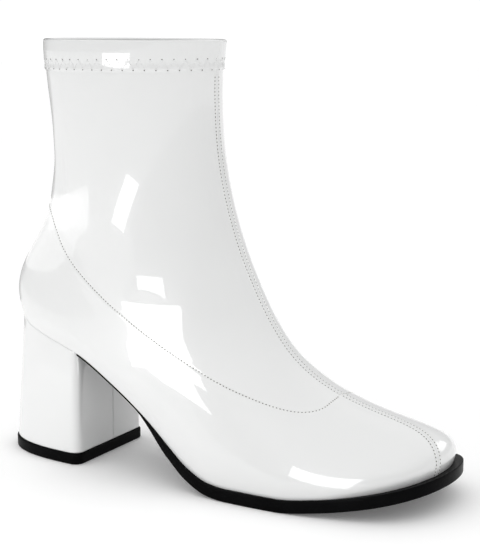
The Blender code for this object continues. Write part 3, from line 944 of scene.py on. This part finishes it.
def build_insole(cloth):
    turns = np.linspace(0.0, 2 * math.pi, SOCK_POINTS)
    turns = np.clip(turns, turns[1] / 2, 2 * math.pi - turns[1] / 2)
    rings = []
    for shift, height in edge_profile(INSOLE_THICKNESS, SOCK_ROUNDING, SOCK_STEPS):
        ring = level_outline(turns, -(WALL + 2 * GAP) + shift)
        ring[:, 2] += GAP + height
        rings.append(ring)
    under, top = across_grid(rings[0], SOCK_COLUMNS), across_grid(rings[-1], SOCK_COLUMNS)
    crown = np.sin(math.pi * np.linspace(0, 1, SOCK_COLUMNS + 1))[None, :]
    x = top[..., 0]
    cushion = CUSHION_HEIGHT * crown ** CUSHION_FULLNESS * (1 - smooth_step(*CUSHION_END, x))
    dish = -DISH_DEPTH * crown * smooth_step(*DISH_START, x)
    top[:, 1:-1, 2] += (cushion + dish)[:, 1:-1]
    piece = mesh_piece("lining_sock", *covered_loft(rings, under, top), [cloth])
    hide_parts("insole")


# Materials.

def new_material(name, **values):
    """A Principled material; the values are set on the shader's own sockets."""
    material = bpy.data.materials.new(name)
    material.use_nodes = True
    shader = material.node_tree.nodes["Principled BSDF"]
    for socket, value in values.items():
        shader.inputs[socket.replace("_", " ").title().replace("Ior", "IOR")].default_value = value
    return material, material.node_tree, shader


def texture_place(tree):
    return tree.nodes.new("ShaderNodeTexCoord").outputs["Object"]


def add_node(tree, kind, **inputs):
    """A shader node with its inputs, each a value or the socket that it is linked to."""
    node = tree.nodes.new("ShaderNode" + kind)
    for name, value in inputs.items():
        socket = node.inputs[name.replace("_", " ").title()]
        if isinstance(value, bpy.types.NodeSocket):
            tree.links.new(value, socket)
        else:
            socket.default_value = value
    return node


def noise_node(tree, place, scale, detail):
    return add_node(tree, "TexNoise", vector=place, scale=scale, detail=detail).outputs["Fac"]


def product(tree, first, second):
    node = tree.nodes.new("ShaderNodeMath")
    node.operation = "MULTIPLY"
    tree.links.new(first, node.inputs[0])
    tree.links.new(second, node.inputs[1])
    return node.outputs["Value"]


def shade(colour, share):
    return tuple(c * share for c in colour)


def colour_by(tree, shader, value, *stops):
    """Colours the shader by a value from 0 to 1; each stop is a value and its colour."""
    node = add_node(tree, "ValToRGB", fac=value)
    for element, (where, colour) in zip(node.color_ramp.elements, stops):
        element.position = where
        element.color = (*colour, 1.0)
    tree.links.new(node.outputs["Color"], shader.inputs["Base Color"])


def add_bump(tree, shader, height, strength, distance, socket="Normal"):
    node = add_node(tree, "Bump", strength=strength, distance=distance, height=height)
    tree.links.new(node.outputs["Normal"], shader.inputs[socket])


def patent_material(name, colour):
    """A gloss coat with a faint orange peel over a softer, faintly clouded white."""
    material, tree, shader = new_material(
        name, roughness=0.34, coat_weight=1.0, coat_roughness=0.03, coat_ior=1.7, specular_ior_level=0.3,
    )
    place = texture_place(tree)
    cloud = noise_node(tree, place, scale=14.0, detail=3.0)
    colour_by(tree, shader, cloud, (0.35, shade(colour, 0.975)), (0.65, colour))
    fine = noise_node(tree, place, scale=900.0, detail=2.0)
    add_bump(tree, shader, fine, strength=0.12, distance=0.0001)
    orange_peel = noise_node(tree, place, scale=130.0, detail=2.0)
    add_bump(tree, shader, orange_peel, strength=0.25, distance=0.00006, socket="Coat Normal")
    return material


def rubber_material(name, colour, roughness, grain):
    """Black rubber with a fine grain, paler and rougher where it is scuffed."""
    material, tree, shader = new_material(name, specular_ior_level=0.03)
    place = texture_place(tree)
    scuffs = noise_node(tree, place, scale=60.0, detail=5.0)
    scuffed = tuple(c * 1.6 + 0.0006 for c in colour)
    colour_by(tree, shader, scuffs, (0.40, colour), (0.75, scuffed))
    spread = add_node(tree, "MapRange", value=scuffs, to_min=roughness - 0.07, to_max=roughness + 0.10)
    tree.links.new(spread.outputs["Result"], shader.inputs["Roughness"])
    fine = noise_node(tree, place, scale=grain, detail=4.0)
    add_bump(tree, shader, fine, strength=0.35, distance=0.0002)
    return material


def cloth_material(name, colour):
    """A fine knitted lining."""
    material, tree, shader = new_material(name, roughness=0.85, sheen_weight=0.25, sheen_roughness=0.5)
    place = texture_place(tree)
    rows = []
    for across in ("X", "Z"):
        waves = add_node(tree, "TexWave", vector=place, scale=420.0, distortion=0.6)
        waves.wave_type = "BANDS"
        waves.bands_direction = across
        rows.append(waves.outputs["Fac"])
    knit = product(tree, *rows)
    colour_by(tree, shader, knit, (0.0, shade(colour, 0.86)), (0.7, colour))
    add_bump(tree, shader, knit, strength=0.5, distance=0.0002)
    return material


def thread_material(name, colour):
    material, tree, shader = new_material(name, roughness=0.6, sheen_weight=0.2)
    twist = noise_node(tree, texture_place(tree), scale=3500.0, detail=1.0)
    colour_by(tree, shader, twist, (0.3, shade(colour, 0.85)), (0.7, colour))
    add_bump(tree, shader, twist, strength=0.5, distance=0.0001)
    return material


# Camera, floor and light.

def build_camera():
    data = bpy.data.cameras.new("camera")
    data.lens = CAMERA_LENS
    data.sensor_width = CAMERA_SENSOR
    data.clip_start = CAMERA_NEAR
    camera = add_object("camera", data)
    camera.location = CAMERA_PLACE
    camera.rotation_euler = [math.radians(angle) for angle in CAMERA_TURN]
    bpy.context.scene.camera = camera


def build_floor():
    mesh = bpy.data.meshes.new("floor")
    work = bmesh.new()
    bmesh.ops.create_grid(work, x_segments=2, y_segments=2, size=FLOOR_HALF)
    work.to_mesh(mesh)
    work.free()
    material, tree, shader = new_material(
        "pale_floor", roughness=0.9, specular_ior_level=0.1,
        emission_color=WHITE, emission_strength=FLOOR_GLOW,
    )
    colour_by(tree, shader, noise_node(tree, texture_place(tree), scale=3.0, detail=2.0), *FLOOR_WHITES)
    mesh.materials.append(material)
    floor = add_object("floor", mesh)
    floor.location = (0.0, 0.0, -FLOOR_DROP)


def direction(azimuth, elevation):
    """A unit vector; azimuth runs from the outer side towards the toe, in degrees."""
    azimuth, elevation = math.radians(azimuth), math.radians(elevation)
    return Vector((
        math.sin(azimuth) * math.cos(elevation),
        -math.cos(azimuth) * math.cos(elevation),
        math.sin(elevation),
    ))


def build_lights():
    """Cards that show only in the gloss, as bright as their radiance says, and a key that never does."""
    for name, aim, azimuth, elevation, distance, width, height, roll, radiance in (*LIGHTS, KEY):
        away = direction(azimuth, elevation)
        data = bpy.data.lights.new(name, "AREA")
        data.shape = "RECTANGLE"
        data.size, data.size_y = width, height
        data.energy = radiance * math.pi * width * height
        light = add_object(name, data)
        light.location = Vector(aim) + away * distance
        light.rotation_euler = away.to_track_quat("Z", "Y").to_euler()
        light.rotation_euler.rotate_axis("Z", math.radians(roll))
        light.visible_camera = False
        light.visible_diffuse = name == KEY[0]
        light.visible_glossy = name != KEY[0]


def build_backdrop():
    """A white surround that only the camera sees, so that the ground behind the boot is plain white."""
    mesh = bpy.data.meshes.new("backdrop")
    work = bmesh.new()
    bmesh.ops.create_icosphere(work, subdivisions=4, radius=BACKDROP_RADIUS)
    bmesh.ops.reverse_faces(work, faces=work.faces)
    work.to_mesh(mesh)
    work.free()
    material = bpy.data.materials.new("white_backdrop")
    material.use_nodes = True
    tree = material.node_tree
    tree.nodes.clear()
    glow = add_node(tree, "Emission", strength=BACKDROP_GLOW)
    add_node(tree, "OutputMaterial", surface=glow.outputs["Emission"])
    mesh.materials.append(material)
    backdrop = add_object("backdrop", mesh)
    backdrop.visible_diffuse = backdrop.visible_glossy = backdrop.visible_transmission = False
    backdrop.visible_shadow = backdrop.visible_volume_scatter = False


def build_flag():
    """A grey card outside the picture, which draws a thin grey edge down the boot's back."""
    azimuth, distance, width, height = FLAG
    away = direction(azimuth, 0)
    side = Vector((-away.y, away.x, 0.0)) * (width / 2)
    foot = away * distance
    top = Vector((0.0, 0.0, height))
    mesh = bpy.data.meshes.new("flag")
    mesh.from_pydata([foot - side, foot + side, foot + side + top, foot - side + top], [], [(0, 1, 2, 3)])
    mesh.materials.append(new_material("grey_flag", base_color=(*FLAG_GREY, 1.0), roughness=1.0)[0])
    flag = add_object("flag", mesh)
    flag.visible_camera = flag.visible_diffuse = flag.visible_shadow = False


def eased(tree, **inputs):
    node = add_node(tree, "MapRange", **inputs)
    node.interpolation_type = "SMOOTHSTEP"
    return node.outputs["Result"]


def build_world():
    """A white studio, brighter overhead and darker on one side, behind the boot's back."""
    world = bpy.data.worlds.new("studio")
    world.use_nodes = True
    tree = world.node_tree
    background = tree.nodes["Background"]
    place = tree.nodes.new("ShaderNodeTexCoord").outputs["Generated"]
    height = add_node(tree, "SeparateXYZ", vector=place).outputs["Z"]
    overhead = eased(
        tree, value=height, from_min=OVERHEAD_FROM, from_max=OVERHEAD_TO, to_min=WORLD_SIDES, to_max=WORLD_TOP,
    )
    towards = tree.nodes.new("ShaderNodeVectorMath")
    towards.operation = "DOT_PRODUCT"
    towards.inputs[1].default_value = direction(*DARK_SIDE)
    tree.links.new(place, towards.inputs[0])
    edge, core = math.cos(math.radians(DARK_EDGE)), math.cos(math.radians(DARK_CORE))
    darkened = eased(
        tree, value=towards.outputs["Value"], from_min=edge, from_max=core, to_min=1.0, to_max=DARK_SHARE,
    )
    background.inputs["Color"].default_value = WHITE
    tree.links.new(product(tree, overhead, darkened), background.inputs["Strength"])
    bpy.context.scene.world = world


def main():
    patent = patent_material("white_patent", PATENT_WHITE)
    heel_patent = patent_material("heel_patent", PATENT_WHITE)
    lining = cloth_material("lining_knit", KNIT_WHITE)
    sock = cloth_material("sock_knit", KNIT_WHITE)
    rubber = rubber_material("sole_rubber", RUBBER_BLACK, roughness=0.34, grain=900.0)
    top_rubber = rubber_material("top_piece_rubber", RUBBER_BLACK, roughness=0.42, grain=1200.0)
    thread = thread_material("seam_thread", SEAM_THREAD)
    hem_thread = thread_material("hem_thread", HEM_THREAD)
    # The needle holes' material is painted shade, a dark grey standing in for the shade in their recesses.
    hole = new_material("needle_hole_painted_shade", base_color=(*HOLE_PAINTED_SHADE, 1.0), roughness=0.8)[0]
    build_upper(patent, lining)
    build_stitches(thread, hem_thread, hole)
    build_outsole(rubber)
    build_heel(heel_patent)
    build_top_piece(top_rubber)
    build_insole(sock)
    build_camera()
    build_floor()
    build_backdrop()
    build_flag()
    build_lights()
    build_world()
    bpy.context.scene.view_settings.view_transform = "Standard"


main()
